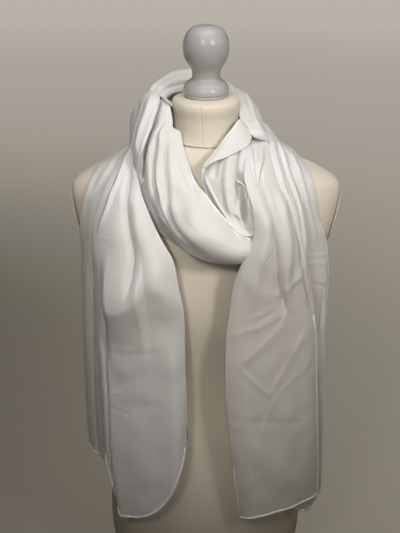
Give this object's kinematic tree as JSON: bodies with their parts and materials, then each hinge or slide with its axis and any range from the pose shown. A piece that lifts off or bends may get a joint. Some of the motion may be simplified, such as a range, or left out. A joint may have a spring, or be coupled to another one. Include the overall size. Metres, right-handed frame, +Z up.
{
  "type": "satin stole on dress form",
  "caption": "Long white satin stole wound round the neck of a limbless dress form, its middle draped as a loop on the chest and its tails hanging down the front.",
  "frame": {"origin": "centre of the flat underside of the base board, on the surface that the dress form stands on", "axes": "+Z up, -Y the front of the dress form, +X to the right as seen from the front"},
  "size_m": [0.4062, 0.2796, 0.864],
  "materials": {
    "satin": "soft white satin with a silky sheen",
    "jersey": "matte cream stretch jersey",
    "knob_paint": "turned wood in satin pale grey paint",
    "board": "plain pale wood, lightly sanded"
  },
  "bodies": {
    "root": {"base_board": "board", "torso": "jersey", "arm_plate_left": "jersey", "arm_plate_right": "jersey", "neck": "jersey", "knob": "knob_paint", "nape_band": "satin", "nape_roll": "satin", "neck_fold_left": "satin", "front_loop": "satin", "inner_fold": "satin", "turned_flap": "satin", "tail_left_front": "satin", "tail_left_back": "satin", "tail_right_front": "satin", "tail_right_back": "satin"}
  },
  "joints": []
}
